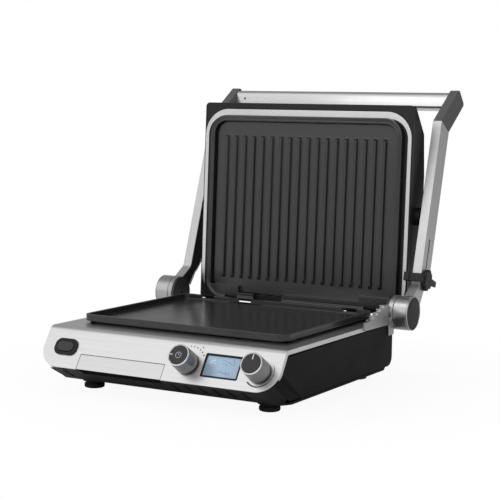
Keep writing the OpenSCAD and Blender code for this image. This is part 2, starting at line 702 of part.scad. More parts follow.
module hinge_pin(side) color([0.22, 0.22, 0.23]) on_side(side) difference() {
    union() {
        rod_x([hinge_y, hinge_z], hinge_pin_d / 2, half_w - eps, hub_x1 - 5);
        rod_x([hinge_y, hinge_z], hub_r - 0.6, half_w - 3.4, half_w);
    }
    rod_x([hinge_y, hinge_z], 2, half_w - 10, half_w + 4);
    // the head stands on the deck and hangs down behind the base
    translate([half_w - 10, rear_y - 50 + move_gap, deck_h - 50]) cube([10, 50, 50]);
}

module hub(side) color([0.7, 0.71, 0.72]) on_side(side) difference() {
    rod_x([hinge_y, hinge_z], hub_r, hub_x, hub_x1);
    rod_x([hinge_y, hinge_z], hinge_pin_d / 2 + run_gap, hub_x - 1, hub_x1 - 4.4);
    rod_x([hinge_y, hinge_z], hub_r - 1.2, hub_x1 - 1.5, hub_x1 + 1);
}

module hub_cap(side) color([0.13, 0.13, 0.14]) on_side(side)
    rod_x([hinge_y, hinge_z], hub_r - 1.2, hub_x1 - 1.5, hub_x1 - 0.2);

// Side view of the arm from the hub's neck to the mitre under the handle end.
module arm_outline(i = 0) polygon(concat(
    [[7 + i, 20.5]], corner_arc([7 + i, 20.5], [arm_off + i, 43.5 - 0.4 * i], [arm_off + i, arm_l], 9),
    [[arm_off + i, arm_l - i * 0.8], [arm_off + arm_w - i, mitre[1] - i * 0.8]],
    arc_pts([arm_off + arm_w - 60, 76], 60 - i, 0, -40, 6),
    [[35.7 - i, 17.1 + i]]));

module clip_slot(gap, x0, x1) side_plate(x0, x1) arm_view()
    translate([slot_u - slot_w / 2 - gap, slot_start]) square([slot_w + 2 * gap, slot_l]);

module hub_clear() rod_x([hinge_y, hinge_z], hub_r + move_gap, 0, hub_x1 + 10);

module arm_channel(side) color([0.82, 0.83, 0.84]) on_side(side) difference() {
    pinched() difference() {
        side_plate(arm_x, arm_x1) arm_view() arm_outline();
        side_plate(arm_x - 1, arm_x1 - channel_t) arm_view() arm_outline(channel_t);
        if (side > 0) clip_slot(0, arm_x1 - 4, arm_x1 + 4);
    }
    rod_x([hinge_y, hinge_z], hub_r - eps, 0, hub_x1 + 10);
    rod_x([hinge_y, hinge_z], hub_r + 1, 0, hub_x);
}

module arm_liner(side) color([0.08, 0.08, 0.09]) on_side(side) difference() {
    pinched() difference() {
        side_plate(arm_x + 1, arm_x1 - channel_t) arm_view() arm_outline(channel_t);
        if (side > 0) clip_slot(4, arm_x1 - 8, arm_x1);
    }
    hub_clear();
    rod_x(pivot_yz, pivot_pin_d / 2, 0, arm_x1 + 10);
}

// Black end that turns the arm towards the bar.
module handle_end_outline() polygon(soften(
    [end_front, mitre, end_corner, end_front + handle_end_l * end_dir], [0, 0, 4, 5]));

module handle_end(side) color([0.25, 0.25, 0.26]) on_side(side) pinched()
    side_plate(arm_x, arm_x1) arm_view() handle_end_outline();

// Square bar between the handle ends, its edges round.
module handle_bar() color([0.85, 0.86, 0.87]) {
    mid = end_front + end_side / 2 + (handle_end_l + 1.8 - bar_a / 2) * end_dir;
    half_l = arm_x - (mid[1] + bar_a / 2 + 2) * sin(arm_pinch);
    side_plate(-half_l, half_l) translate(arm_pt(mid[0], mid[1])) rotate(-bar_tilt) difference() {
        rounded(bar_a, bar_a, bar_r);
        rounded(bar_a - 2 * bar_t, bar_a - 2 * bar_t, bar_r - bar_t);
    }
}

module pivot_pin(side) color([0.6, 0.6, 0.6]) on_side(side)
    rod_x(pivot_yz, pivot_pin_d / 2, lid_w / 2 - 8, arm_x1 - channel_t - pivot_in - 0.5);

// ---- Lid -------------------------------------------------------------------

// Side view of the lid in its own frame (s, n), walls moved inwards by i.
function lid_pts(i) = concat(
    [[i, -frame_t], [i, -26]],
    arc_pts([16, -26], 16 - i, 180, 270, 6),
    [[back_s[0], -lid_t + i], [back_s[1], -lid_t + i], [chamfer_s - i * 0.5, chamfer_n + i],
     [lid_l - 1.2 * i, -frame_t]]);

// Thickens a lid side view from -w/2 to w/2.
module lid_plate(w) translate([-w / 2, 0, 0]) rotate([90, 0, 90]) linear_extrude(w) children();

module pivot_hole(r) for (x = [-1, 1]) translate([x * lid_w / 2, pivot_s, pivot_n])
    rotate([0, 90, 0]) cylinder(r = r, h = 30, center = true);

module lid_cover() color([0.1, 0.1, 0.11]) on_lid() difference() {
    lid_plate(lid_w) polygon(lid_pts(0));
    lid_plate(lid_w - 2 * lid_wall)
        polygon(concat([[lid_wall, 1]], lid_pts(lid_wall), [[lid_l - 1.2 * lid_wall, 1]]));
    pivot_hole(8);
    lid_button_frame() translate([0, 0, -6]) linear_extrude(12) rounded(lid_button_w, lid_button_h, 4);
}

// Local frame on the lid's sloping front edge.
module lid_button_frame() {
    run = lid_l - chamfer_s;
    rise = -chamfer_n - frame_t;
    translate([0, chamfer_s + 0.69 * run, chamfer_n + 0.69 * rise])
        rotate([atan2(rise, run) - 180, 0, 0]) children();
}

module lid_release_button() color([0.5, 0.5, 0.52]) on_lid() lid_button_frame() {
    translate([0, 0, -3.5]) linear_extrude(5.5)
        rounded(lid_button_w - 2 * move_gap, lid_button_h - 2 * move_gap, 3.5);
    translate([0, 0, -6]) cylinder(d = 6, h = 3);
}

module lid_top_panel() color([0.8, 0.81, 0.82]) on_lid()
    translate([0, (back_s[0] + back_s[1]) / 2, -lid_t - sheet_t]) linear_extrude(sheet_t)
        rounded(lid_w - 2 * panel_margin, back_s[1] - back_s[0] - 0.65 * panel_margin, 12);

module lid_frame() color([0.2, 0.2, 0.21]) on_lid() difference() {
    translate([0, lid_l / 2, -frame_t]) linear_extrude(frame_t) rounded(lid_w, lid_l, 6);
    translate([0, upper_s0 + upper_l / 2, -frame_t - 1]) linear_extrude(frame_t + 2)
        rounded(upper_w - 2 * pan_in, upper_l - 2 * pan_in, upper_r - pan_in);
    // seat of the bright ring
    translate([0, 0, -1.2]) linear_extrude(5) ring_outline(0);
}

// Bright ring, open at the hinge side.
module ring_outline(i) difference() {
    translate([0, (ring_top_s + 3) / 2]) rounded(lid_w - 3 - 2 * i, ring_top_s - 3 - 2 * i, ring_r);
    translate([0, (ring_top_s - ring_w - 10) / 2])
        rounded(lid_w - 3 - 2 * ring_side, ring_top_s - ring_w + 10, ring_r - ring_w);
}

module lid_ring() color([0.83, 0.84, 0.85]) on_lid() translate([0, 0, -1.2])
    linear_extrude(2.2) ring_outline(0.2);

module upper_heater_pan() color([0.6, 0.6, 0.61]) on_lid()
    translate([0, upper_s0 + upper_l / 2, -frame_t])
        heater_pan(upper_w - 2 * pan_in + 4, upper_l - 2 * pan_in + 4, upper_r - pan_in + 2, pan_depth);

module upper_element() color([0.35, 0.33, 0.32]) on_lid()
    translate([0, upper_s0 + upper_l / 2, -frame_t - pan_depth + pan_t + element_d / 2 + 2])
        element(0.6 * upper_w, 0.73 * upper_l);

module pivot_boss(side) color([0.2, 0.2, 0.21]) on_side(side) on_lid()
    translate([lid_w / 2, pivot_s, pivot_n]) rotate([0, 90, 0]) difference() {
        union() {
            translate([0, 0, -14]) cylinder(r = 8, h = 14 + eps);
            cylinder(r = 12, h = arm_x - pivot_in - lid_w / 2 - 2 * move_gap);
            translate([0, 0, -14]) cylinder(r = 11, h = 14 - lid_wall - 0.1);
        }
        translate([0, 0, -9]) cylinder(r = pivot_pin_d / 2 + run_gap, h = 40);
    }

// ---- Plates ------------------------------------------------------------------

module lower_plate() color([0.23, 0.23, 0.24]) translate([0, plate_y, 0]) difference() {
    union() {
        translate([0, 0, rim_z0]) linear_extrude(rim_h) rounded(plate_w, plate_l, plate_r);
        translate([0, 0, floor_z - plate_under]) linear_extrude(plate_under)
            rounded(plate_w - 2 * plate_nest, plate_l - 2 * plate_nest, plate_r - 2);
    }
    translate([0, 0, floor_z]) linear_extrude(rim_h)
        rounded(plate_w - 2 * rim_t, plate_l - 2 * rim_t, plate_r - rim_t);
    // drain in the rear wall, its sides slanted
    translate([drain_x, plate_l / 2 + 1, floor_z]) rotate([90, 0, 0]) linear_extrude(rim_t + 4)
        polygon([[-drain_w / 2, 0], [drain_w / 2, 0], [drain_w / 2 + 6, 12], [-drain_w / 2 - 6, 12]]);
    for (x = catch_x) translate([x - catch_w / 2 - 2, plate_l / 2 - rim_t - 1, rim_z1 - 4.5])
        cube([catch_w + 4, rim_t + 3, 10]);
}

// Rests that the lower plate's rim stands on.
module plate_rests() for (x = [-1, 1], y = [-1, 1])
    translate([x * (plate_w / 2 - 4.5), plate_y + y * (plate_l / 2 - 18), deck_h])
        cylinder(d = 7, h = rim_gap - 0.05);

// Catches stand behind the lower plate's notches.
module plate_catches() color([0.07, 0.07, 0.07]) { plate_rests(); catch_pair(); }

module catch_pair() for (x = catch_x)
    translate([x - catch_w / 2, rear_y - plate_rear_in, 0]) rotate([90, 0, 90]) linear_extrude(catch_w)
        polygon([[move_gap, deck_h], [9, deck_h], [9, rim_z1 - 6], [6, rim_z1 - 1], [move_gap, rim_z1 - 1],
                 [move_gap, rim_z1 - 3], [3, rim_z1 - 4]]);

// Where the ribs start, up the lid.
rib_s0 = upper_s0 + 29;
// Hollow of the upper plate inside its rim, with a spout at the hinge side for the drain.
upper_rim_t = 7;
module upper_pocket() {
    w = upper_w - 2 * upper_rim_t;
    low = upper_s0 + 2.6 * upper_rim_t;
    top = upper_s0 + upper_l - upper_rim_t - 1;
    translate([-w / 2, low]) square([w, (top - low) / 2]);
    translate([0, (top + low) / 2]) rounded(w, top - low, upper_r - upper_rim_t);
    translate([drain_x - drain_w, low - 10]) square([1.46 * drain_w, 20]);
    translate([drain_x, low - 7]) square([upper_w / 2 - 56 - drain_x, 20]);
    translate([drain_x - drain_w / 2, low - 30]) square([drain_w - 4, 50]);
}

module upper_plate() color([0.23, 0.23, 0.24]) on_lid() {
    floor_n = upper_rim_h - 6;
    difference() {
        union() {
            translate([0, upper_s0 + upper_l / 2, rim_n0]) linear_extrude(upper_rim_h - rim_n0)
                rounded(upper_w, upper_l, upper_r);
            translate([0, upper_s0 + upper_l / 2, floor_n - plate_under]) linear_extrude(plate_under + 1)
                rounded(upper_w - 2 * plate_nest, upper_l - 2 * plate_nest, upper_r - 8);
        }
        translate([0, 0, floor_n]) linear_extrude(upper_rim_h) upper_pocket();
        for (x = catch_x) translate([x - catch_w / 2 - 2, upper_s0 - 1, 2]) cube([catch_w + 4, 5, 10]);
    }
    // ribs, cut to a slope at both ends
    intersection() {
        for (k = [0:rib_count - 1]) translate([(k - (rib_count - 1) / 2) * rib_pitch, rib_s0 + rib_l, floor_n - eps])
            rotate([90, 0, 0]) linear_extrude(rib_l) polygon([[-2.8, 0], [2.8, 0], [1.7, rib_h - 1],
                [0.9, rib_h], [-0.9, rib_h], [-1.7, rib_h - 1]]);
        lid_plate(upper_w) polygon([[rib_s0, floor_n - 1], [rib_s0, floor_n], [rib_s0 + 4, floor_n + rib_h],
            [rib_s0 + rib_l - 4, floor_n + rib_h], [rib_s0 + rib_l, floor_n], [rib_s0 + rib_l, floor_n - 1]]);
    }
}

module upper_catches() color([0.07, 0.07, 0.07]) on_lid() for (x = catch_x)
    translate([x - catch_w / 2, 0, 0]) cube([catch_w, upper_s0 - move_gap, 5]);

// ---- Height clip ----------------------------------------------------------------

module height_clip() color([0.2, 0.2, 0.21]) pinched() {
    mid_v = clip_v + clip_l / 2;
    // block outside the arm, with a round boss above and a lug below
    side_plate(arm_x1 + move_gap, arm_x1 + 6) arm_view() {
        translate([slot_u, mid_v]) rounded(clip_w, clip_l - 8, 4);
        translate([slot_u + 1, clip_v + clip_l - 5.5]) circle(5.5);
        translate([slot_u - 2, clip_v + 5]) circle(5.5);
    }
    // thumb tab to the rear
    side_plate(arm_x1 + move_gap + 1, arm_x1 + 5) arm_view()
        polygon([[slot_u + clip_w / 2 - 2, mid_v - 5], [slot_u + clip_w / 2 + tab_l, mid_v - 4],
                 [slot_u + clip_w / 2 + tab_l, mid_v + 3.5], [slot_u + clip_w / 2 - 2, mid_v + 5]]);
    // stem in the slot, with its foot behind the sheet
    side_plate(arm_x1 - channel_t - 2.5, arm_x1 + 1) arm_view()
        translate([slot_u - slot_w / 2 + 0.3, mid_v - 6]) square([slot_w - 0.6, 12]);
    side_plate(arm_x1 - channel_t - 3.5, arm_x1 - channel_t - 0.4) arm_view()
        translate([slot_u - 3.3, mid_v - 6]) square([6.6, 12]);
    // tongue round the arm's front face, thinner before the arm than before the lid
    side_plate(arm_x1 + move_gap, arm_x1 + 4) arm_view()
        translate([arm_off - 7, mid_v - 5.5]) square([20, 11]);
    side_plate(arm_x - 4, arm_x1 + 4) arm_view()
        translate([arm_off - 7, mid_v - 5.5]) square([7 - move_gap, 11]);
    side_plate(lid_w / 2 + 2.5, arm_x - 1) arm_view()
        translate([arm_off - 9, mid_v - 5.5]) square([9 - move_gap, 11.5]);
}

// ---- Assembly ---------------------------------------------------------------------

lower_housing();
side_panel(-1);  // left_side_panel
side_panel(1);  // right_side_panel
deck_cover();
rear_panel();
lower_heater_pan();
lower_element();
power_board();
control_board();
lcd_bezel();
lcd_window();
button_bezel();
knob_ring(timer_x);  // timer_knob_ring
knob_ring(temperature_x);  // temperature_knob_ring
shaft_part(timer_x, false);  // timer_encoder
shaft_part(temperature_x, true);  // temperature_pot
foot(-1, front_y + foot_front_in);  // foot_front_left
foot(1, front_y + foot_front_in);  // foot_front_right
foot(-1, rear_y - foot_rear_in);  // foot_rear_left
foot(1, rear_y - foot_rear_in);  // foot_rear_right
left_hinge_bracket();
right_hinge_bracket();
hinge_pin(-1);  // left_hinge_pin
hinge_pin(1);  // right_hinge_pin
plate_catches();
cable_gland();
tray_runners();
tray_pan();
tray_front();
arm_channel(-1);  // left_arm_channel
arm_channel(1);  // right_arm_channel
arm_liner(-1);  // left_arm_liner
arm_liner(1);  // right_arm_liner
hub(-1);  // left_hub
hub(1);  // right_hub
hub_cap(-1);  // left_hub_cap
hub_cap(1);  // right_hub_cap
handle_end(-1);  // left_handle_end
handle_end(1);  // right_handle_end
handle_bar();
pivot_pin(-1);  // left_pivot_pin
pivot_pin(1);  // right_pivot_pin
lid_cover();
lid_top_panel();
lid_frame();
lid_ring();
upper_heater_pan();
upper_element();
upper_catches();
pivot_boss(-1);  // left_pivot_boss
pivot_boss(1);  // right_pivot_boss
lid_release_button();
upper_plate();
lower_plate();
height_clip();
timer_shaft();
timer_knob();
temperature_knob();
plate_release_button();
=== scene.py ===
"""Contact grill, shown open: finishes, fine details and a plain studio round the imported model. Metres, +Z up."""

import json
import math

import bmesh
import bpy
import numpy as np
from mathutils import Matrix, Vector


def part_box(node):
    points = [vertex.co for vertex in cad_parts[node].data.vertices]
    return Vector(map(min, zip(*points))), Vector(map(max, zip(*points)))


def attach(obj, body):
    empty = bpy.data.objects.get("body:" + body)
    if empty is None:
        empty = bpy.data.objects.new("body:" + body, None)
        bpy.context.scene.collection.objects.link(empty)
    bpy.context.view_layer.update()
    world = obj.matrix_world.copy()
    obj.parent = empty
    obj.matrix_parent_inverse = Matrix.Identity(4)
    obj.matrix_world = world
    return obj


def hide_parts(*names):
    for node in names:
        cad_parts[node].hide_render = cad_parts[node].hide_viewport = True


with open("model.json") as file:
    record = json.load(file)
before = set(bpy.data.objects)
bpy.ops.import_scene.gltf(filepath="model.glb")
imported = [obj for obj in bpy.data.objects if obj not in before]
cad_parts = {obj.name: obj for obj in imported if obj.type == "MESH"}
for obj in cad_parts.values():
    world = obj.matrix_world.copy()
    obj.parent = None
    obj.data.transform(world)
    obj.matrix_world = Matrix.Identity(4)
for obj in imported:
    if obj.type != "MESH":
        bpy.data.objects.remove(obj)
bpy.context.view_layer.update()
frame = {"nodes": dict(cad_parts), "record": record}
NODES = frame["nodes"]
BODY = {n: b for b, ns in frame["record"]["behaviour"]["bodies"].items() for n in ns}
SCENE = bpy.context.scene
MM = 0.001

# ---- Places taken over from the CAD source, in metres and degrees ---------------------------

FRONT_Y, DECK_Z = -0.221452, 0.0804
FASCIA_TILT = math.radians(32.8)
CONTROL_D = 0.0295
TIMER_X, TEMPERATURE_X, LCD_X = 0.044, 0.1415, 0.090
CHIN_Y, CHIN_Z, CHIN_SLOPE = -0.250975, 0.034589, math.atan2(21.589, 41)
FEET = [("foot_front_left", -0.127, FRONT_Y + 0.035), ("foot_front_right", 0.127, FRONT_Y + 0.035),
        ("foot_rear_left", -0.127, 0.0519477), ("foot_rear_right", 0.127, 0.0519477)]
VENTS_X = [-154.0, -134.4] + [22.0 + 19.6 * k for k in range(6)]
RECESS_X, RECESS_RUN = (-105.8, 10.3), 0.014
HINGE_Y, HINGE_Z = 0.076348, 0.0892
HUB_R, HUB_X0, HUB_X1 = 0.0226, 0.1749, 0.1954
BAR_TILT = math.radians(10)
SCREW_X, SCREW_V = -0.1553, -0.0011


def frame_matrix(origin, x_axis, y_axis, z_axis):
    """Matrix whose columns are the three axes, placed at the origin point."""
    m = Matrix((x_axis, y_axis, z_axis)).transposed().to_4x4()
    m.translation = Vector(origin)
    return m


def on_fascia(x, d):
    """Frame on the sloping fascia: X right, Y up the slope, Z out of it; d metres below the deck's edge."""
    s, c = math.sin(FASCIA_TILT), math.cos(FASCIA_TILT)
    return frame_matrix((x, FRONT_Y - d * s, DECK_Z - d * c), (1, 0, 0), (0, s, c), (0, -c, s))


def on_chin():
    """Frame on the chin under the fascia: X right, Y down and back along it, Z inwards."""
    s, c = math.sin(CHIN_SLOPE), math.cos(CHIN_SLOPE)
    return frame_matrix((0, CHIN_Y, CHIN_Z), (1, 0, 0), (0, c, -s), (0, s, c))


def on_hub(side):
    """Frame on the hinge axis: Z out of the machine's side, Y up."""
    return frame_matrix((0, HINGE_Y, HINGE_Z), (0, side, 0), (0, 0, 1), (side, 0, 0))


# ---- Shader node groups -----------------------------------------------------------------------


def new_group(name, inputs, outputs):
    """Empty shader group with float or vector sockets; gives the group and its end nodes."""
    group = bpy.data.node_groups.new(name, "ShaderNodeTree")
    for label, kind, value in inputs:
        socket = group.interface.new_socket(label, in_out="INPUT", socket_type=kind)
        if value is not None:
            socket.default_value = value
    for label in outputs:
        group.interface.new_socket(label, in_out="OUTPUT", socket_type="NodeSocketFloat")
    return group, group.nodes.new("NodeGroupInput"), group.nodes.new("NodeGroupOutput")


def link(tree, a, b):
    tree.links.new(a, b)


def math_node(tree, operation, a, b=None, clamp=False):
    """Math node whose two inputs are sockets or plain numbers."""
    node = tree.nodes.new("ShaderNodeMath")
    node.operation = operation
    node.use_clamp = clamp
    for socket, value in zip(node.inputs, (a, b)):
        if value is None:
            continue
        if isinstance(value, (int, float)):
            socket.default_value = value
        else:
            link(tree, value, socket)
    return node.outputs[0]


def noise(tree, vector, scale, detail=2.0, roughness=0.5):
    node = tree.nodes.new("ShaderNodeTexNoise")
    node.inputs["Detail"].default_value = detail
    node.inputs["Roughness"].default_value = roughness
    if isinstance(scale, (int, float)):
        node.inputs["Scale"].default_value = scale
    else:
        link(tree, scale, node.inputs["Scale"])
    link(tree, vector, node.inputs["Vector"])
    return node.outputs["Fac"]


def make_brushed():
    """Brushed grain: two noises drawn out along one axis, centred on 0.5, and a slow cloud."""
    group, start, end = new_group(
        "brushed_grain",
        [("Vector", "NodeSocketVector", None), ("Stretch", "NodeSocketVector", (20.0, 900.0, 900.0))],
        ["Grain", "Cloud"],
    )
    node = group.nodes.new("ShaderNodeVectorMath")
    node.operation = "MULTIPLY"
    link(group, start.outputs["Vector"], node.inputs[0])
    link(group, start.outputs["Stretch"], node.inputs[1])
    drawn = node.outputs[0]
    fine = noise(group, drawn, 1.0, 3.0, 0.65)
    coarse = noise(group, drawn, 0.31, 1.0)
    link(group, math_node(group, "ADD", math_node(group, "MULTIPLY", fine, 0.65),
                          math_node(group, "MULTIPLY", coarse, 0.35)), end.inputs["Grain"])
    link(group, noise(group, start.outputs["Vector"], 9.0, 3.0), end.inputs["Cloud"])
    return group


def make_moulded():
    """Moulded plastic: fine spark-eroded pits and a slow variation of gloss."""
    group, start, end = new_group(
        "moulded_texture",
        [("Vector", "NodeSocketVector", None), ("Scale", "NodeSocketFloat", 2200.0)],
        ["Pits", "Cloud"],
    )
    link(group, noise(group, start.outputs["Vector"], start.outputs["Scale"], 2.0, 0.6), end.inputs["Pits"])
    link(group, noise(group, start.outputs["Vector"], 14.0, 4.0), end.inputs["Cloud"])
    return group


def make_coating():
    """Non-stick coating: small pale specks from cell distances, over a fine orange-peel surface."""
    group, start, end = new_group(
        "coating_specks",
        [("Vector", "NodeSocketVector", None), ("Scale", "NodeSocketFloat", 700.0)],
        ["Specks", "Peel", "Cloud"],
    )
    cells = group.nodes.new("ShaderNodeTexVoronoi")
    link(group, start.outputs["Vector"], cells.inputs["Vector"])
    link(group, start.outputs["Scale"], cells.inputs["Scale"])
    near = math_node(group, "LESS_THAN", cells.outputs["Distance"], 0.2)
    chosen = math_node(group, "GREATER_THAN", noise(group, start.outputs["Vector"], 420.0, 1.0), 0.56)
    link(group, math_node(group, "MULTIPLY", near, chosen), end.inputs["Specks"])
    link(group, noise(group, start.outputs["Vector"], 1500.0, 2.0), end.inputs["Peel"])
    link(group, noise(group, start.outputs["Vector"], 11.0, 3.0), end.inputs["Cloud"])
    return group


def make_rim_bead():
    """Raised bead and groove along a rounded rectangle: heights from the distance to its outline, in X and Z."""
    group, start, end = new_group(
        "rim_bead",
        [("Vector", "NodeSocketVector", None), ("Centre Z", "NodeSocketFloat", 0.2),
         ("Half X", "NodeSocketFloat", 0.1), ("Half Z", "NodeSocketFloat", 0.1), ("Radius", "NodeSocketFloat", 0.02)],
        ["Height"],
    )
    split = group.nodes.new("ShaderNodeSeparateXYZ")
    link(group, start.outputs["Vector"], split.inputs[0])
    beyond = []
    for place, half in ((split.outputs["X"], "Half X"),
                        (math_node(group, "SUBTRACT", split.outputs["Z"], start.outputs["Centre Z"]), "Half Z")):
        inner = math_node(group, "SUBTRACT", start.outputs[half], start.outputs["Radius"])
        out = math_node(group, "SUBTRACT", math_node(group, "ABSOLUTE", place), inner)
        beyond.append(math_node(group, "POWER", math_node(group, "MAXIMUM", out, 0.0), 2.0))
    reach = math_node(group, "SQRT", math_node(group, "ADD", *beyond))
    inside = math_node(group, "SUBTRACT", start.outputs["Radius"], reach)
    waves = []
    for middle, width in ((0.0014, 0.0012), (0.0044, 0.0010)):
        off = math_node(group, "ABSOLUTE", math_node(group, "SUBTRACT", inside, middle))
        rise = group.nodes.new("ShaderNodeMapRange")
        rise.interpolation_type = "SMOOTHSTEP"
        link(group, off, rise.inputs["Value"])
        for key, value in zip(("From Min", "From Max", "To Min", "To Max"), (0.0, width, 1.0, 0.0)):
            rise.inputs[key].default_value = value
        waves.append(rise.outputs["Result"])
    link(group, math_node(group, "SUBTRACT", waves[0], waves[1]), end.inputs["Height"])
    return group


BRUSHED, MOULDED, COATING, RIM_BEAD = make_brushed(), make_moulded(), make_coating(), make_rim_bead()


class Finish:
    """One material: a Principled shader, its object coordinates, and helpers that feed its sockets."""

    def __init__(self, name, colour, **plain):
        self.material = bpy.data.materials.new(name)
        self.material.use_nodes = True
        self.tree = self.material.node_tree
        self.shader = self.tree.nodes["Principled BSDF"]
        self.colour = tuple(colour) + (1.0,)
        self.shader.inputs["Base Color"].default_value = self.colour
        for key, value in plain.items():
            self.shader.inputs[key.replace("_", " ")].default_value = value
        self.coords = self.tree.nodes.new("ShaderNodeTexCoord").outputs["Object"]

    def group(self, group, vector=None, **values):
        node = self.tree.nodes.new("ShaderNodeGroup")
        node.node_tree = group
        link(self.tree, vector or self.coords, node.inputs["Vector"])
        for key, value in values.items():
            node.inputs[key].default_value = value
        return node.outputs

    def spread(self, factor, low, high):
        """Numbers from low to high as the factor goes from 0.25 to 0.75, where a noise mostly lies."""
        node = self.tree.nodes.new("ShaderNodeMapRange")
        link(self.tree, factor, node.inputs["Value"])
        for key, value in zip(("From Min", "From Max", "To Min", "To Max"), (0.25, 0.75, low, high)):
            node.inputs[key].default_value = value
        return node.outputs["Result"]

    def rough(self, factor, low, high):
        link(self.tree, self.spread(factor, low, high), self.shader.inputs["Roughness"])

    def tint(self, factor, other, low=0.0, high=1.0):
        """Base colour that goes towards another colour as the factor grows."""
        mix = self.tree.nodes.new("ShaderNodeMix")
        mix.data_type = "RGBA"
        source = self.shader.inputs["Base Color"]
        if source.is_linked:
            link(self.tree, source.links[0].from_socket, mix.inputs["A"])
        else:
            mix.inputs["A"].default_value = self.colour
        mix.inputs["B"].default_value = tuple(other) + (1.0,)
        link(self.tree, self.spread(factor, low, high), mix.inputs["Factor"])
        link(self.tree, mix.outputs["Result"], source)

    def bump(self, height, strength, distance):
        node = self.tree.nodes.new("ShaderNodeBump")
        node.inputs["Strength"].default_value = strength
        node.inputs["Distance"].default_value = distance
        link(self.tree, height, node.inputs["Height"])
        if self.shader.inputs["Normal"].is_linked:
            link(self.tree, self.shader.inputs["Normal"].links[0].from_socket, node.inputs["Normal"])
        link(self.tree, node.outputs["Normal"], self.shader.inputs["Normal"])

    def turned(self, y, z):
        """Coordinates of a piece turned about an X axis at y, z: along the axis, round it, and the radius."""
        split = self.tree.nodes.new("ShaderNodeSeparateXYZ")
        link(self.tree, self.coords, split.inputs[0])
        dy = math_node(self.tree, "SUBTRACT", split.outputs["Y"], y)
        dz = math_node(self.tree, "SUBTRACT", split.outputs["Z"], z)
        radius = math_node(self.tree, "SQRT", math_node(
            self.tree, "ADD", math_node(self.tree, "MULTIPLY", dy, dy), math_node(self.tree, "MULTIPLY", dz, dz)))
        angle = math_node(self.tree, "MULTIPLY", math_node(self.tree, "ARCTAN2", dz, dy), 0.02)
        join = self.tree.nodes.new("ShaderNodeCombineXYZ")
        for socket, value in zip(join.inputs, (split.outputs["X"], angle, radius)):
            link(self.tree, value, socket)
        return join.outputs[0]


def shade(level):
    """Linear grey from an sRGB level of 0 to 255."""
    c = level / 255
    return (c / 12.92,) * 3 if c <= 0.04045 else (((c + 0.055) / 1.055) ** 2.4,) * 3


def brushed_metal(name, level, low, high, stretch, depth=0.5, turn=None):
    """Brushed or turned metal: the grain darkens, roughens and lifts the surface a little."""
    finish = Finish(name, shade(level), Metallic=1.0)
    grain = finish.group(BRUSHED, turn(finish) if turn else None, Stretch=stretch)
    finish.tint(grain["Grain"], shade(level - 24), 0.0, 0.5)
    finish.tint(grain["Cloud"], shade(level - 10), 0.0, 0.3)
    finish.rough(grain["Grain"], low, high)
    finish.bump(grain["Grain"], depth, 0.00002)
    return finish.material


def moulded_plastic(name, level, low, high, gloss=0.3, scale=2200.0, depth=0.25, colour=None):
    """Moulded plastic with fine pits, of a grey level or a colour."""
    finish = Finish(name, colour or shade(level), Specular_IOR_Level=gloss)
    texture = finish.group(MOULDED, Scale=scale)
    finish.tint(texture["Cloud"], tuple(1.25 * c for c in finish.colour[:3]), 0.0, 0.5)
    finish.rough(texture["Cloud"], low, high)
    finish.bump(texture["Pits"], depth, 0.00003)
    return finish.material


def nonstick(name, level, low, high, gloss=0.4, bead=None):
    """Charcoal non-stick coat: pale specks and a faint orange peel, and a bead along the rim where one is given."""
    finish = Finish(name, shade(level), Specular_IOR_Level=gloss)
    coat = finish.group(COATING)
    finish.tint(coat["Cloud"], shade(level + 6), 0.0, 0.5)
    finish.tint(coat["Specks"], shade(level + 50), 0.0, 0.3)
    finish.rough(coat["Cloud"], low, high)
    finish.bump(coat["Peel"], 0.25, 0.00004)
    if bead:
        finish.bump(finish.group(RIM_BEAD, **bead)["Height"], 1.0, 0.0006)
    return finish.material


def hub_turning(finish):
    return finish.turned(HINGE_Y, HINGE_Z)


